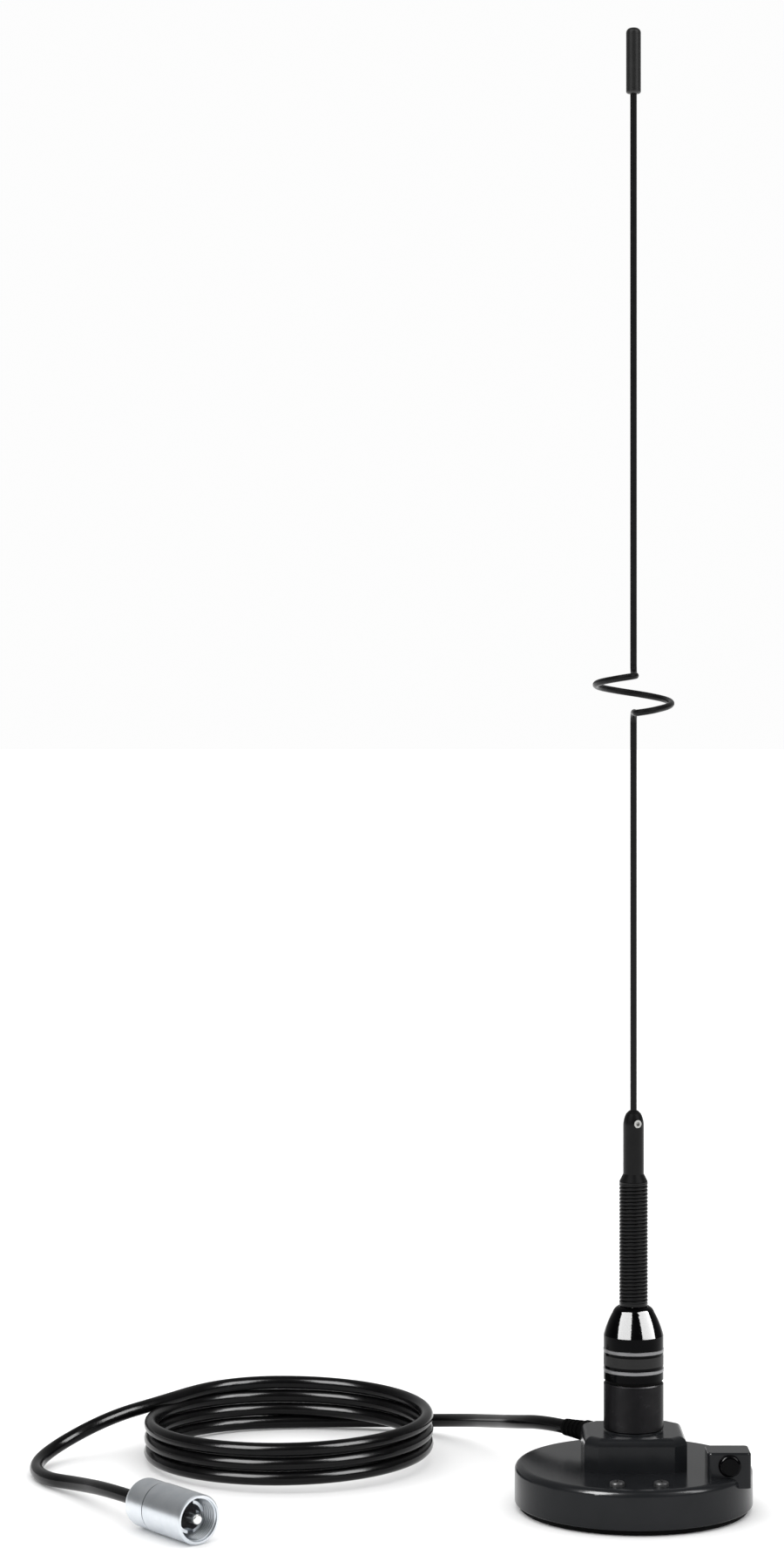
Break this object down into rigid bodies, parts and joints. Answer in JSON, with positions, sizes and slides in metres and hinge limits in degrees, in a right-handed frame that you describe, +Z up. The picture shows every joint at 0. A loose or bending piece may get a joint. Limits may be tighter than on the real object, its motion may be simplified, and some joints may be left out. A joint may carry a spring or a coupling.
{
  "type": "mobile whip antenna",
  "caption": "Omnidirectional magnet-mount whip antenna with a phasing loop, shock spring, domed base, round magnetic foot and coiled coaxial lead with a screw-on plug.",
  "frame": {"origin": "centre of the magnetic base's underside, on the surface it stands on", "axes": "+Z up along the whip, -Y the front of the antenna, +X to the right seen from the front"},
  "size_m": [0.2793, 0.1994, 0.5605],
  "materials": {
    "satin_black": "dark grey satin moulded plastic, fine texture",
    "gloss_black": "deep glossy black chrome",
    "sleeve_black": "satin black anodised metal",
    "band_grey": "dark grey satin band",
    "bright_trim": "polished bright trim",
    "spring_black": "gloss black coated spring steel",
    "whip_black": "semi-gloss black coating",
    "cap_black": "black rubbery plastic, semi-gloss",
    "screw_black": "black oxide screw, semi-gloss",
    "rubber": "matt black rubber",
    "cable_jacket": "glossy black vinyl jacket",
    "nickel": "bright nickel plate",
    "plated_steel": "zinc-plated steel",
    "magnet": "dark sintered ferrite",
    "white_insulator": "white fluoropolymer",
    "plug_insulator": "dark phenolic insulator",
    "plug_contact": "silver plate",
    "brass": "machined brass",
    "copper": "bare copper"
  },
  "bodies": {
    "base": {"foot_pad": "rubber", "magnet_ring": "magnet", "steel_cup": "plated_steel", "base_cover": "satin_black", "cover_screws": "screw_black", "hub_housing": "satin_black", "hub_screws": "plated_steel", "socket_shell": "nickel", "socket_nut": "nickel", "socket_insulator": "white_insulator", "socket_contact": "brass", "cable_gland": "rubber", "cable_inner_end": "cable_jacket", "coax_core": "copper", "outlet_block": "satin_black", "blanking_plug": "gloss_black", "antenna_core": "nickel", "seal_ring": "rubber", "antenna_insulator": "white_insulator", "contact_pin": "brass", "dome_housing": "gloss_black", "lower_trim_ring": "bright_trim", "upper_trim_ring": "bright_trim", "plain_band": "band_grey", "coil_former": "white_insulator", "matching_coil": "copper", "spring_bottom_plug": "plated_steel", "cable_lead": "cable_jacket", "cable_coil": "cable_jacket", "cable_tail": "cable_jacket", "plug_body": "nickel", "plug_insulator": "plug_insulator", "plug_pin": "plug_contact"},
    "sleeve": {"coupling_sleeve": "sleeve_black"},
    "spring": {"shock_spring": "spring_black", "spring_braid": "copper"},
    "ferrule": {"spring_top_plug": "whip_black", "whip_ferrule": "whip_black", "ferrule_set_screw": "plated_steel"},
    "whip": {"whip_rod": "whip_black", "whip_tip_cap": "cap_black"},
    "plug_nut": {"plug_coupling_nut": "nickel"}
  },
  "joints": [
    {"name": "spring_flex_fore_aft", "type": "hinge", "parent": "base", "child": "spring", "pos_m": [0, 0, 0.094], "axis": [1, 0, 0], "range_deg": [-45, 45], "stiffness_Nm_per_rad": 0.5, "deforming": ["shock_spring", "spring_braid"]},
    {"name": "spring_flex_side", "type": "hinge", "parent": "spring", "child": "ferrule", "pos_m": [0, 0, 0.108], "axis": [0, 1, 0], "range_deg": [-45, 45], "stiffness_Nm_per_rad": 0.5, "deforming": ["shock_spring", "spring_braid"]},
    {"name": "whip_height", "type": "slide", "parent": "ferrule", "child": "whip", "axis": [0, 0, 1], "range_m": [0, 0.012]},
    {"name": "sleeve_turn", "type": "hinge", "parent": "base", "child": "sleeve", "pos_m": [0, 0, 0.04], "axis": [0, 0, 1], "continuous": true},
    {"name": "plug_nut_turn", "type": "hinge", "parent": "base", "child": "plug_nut", "pos_m": [-0.16906, -0.04678, 0.00915], "axis": [0.6225, -0.7826, 0], "continuous": true}
  ]
}
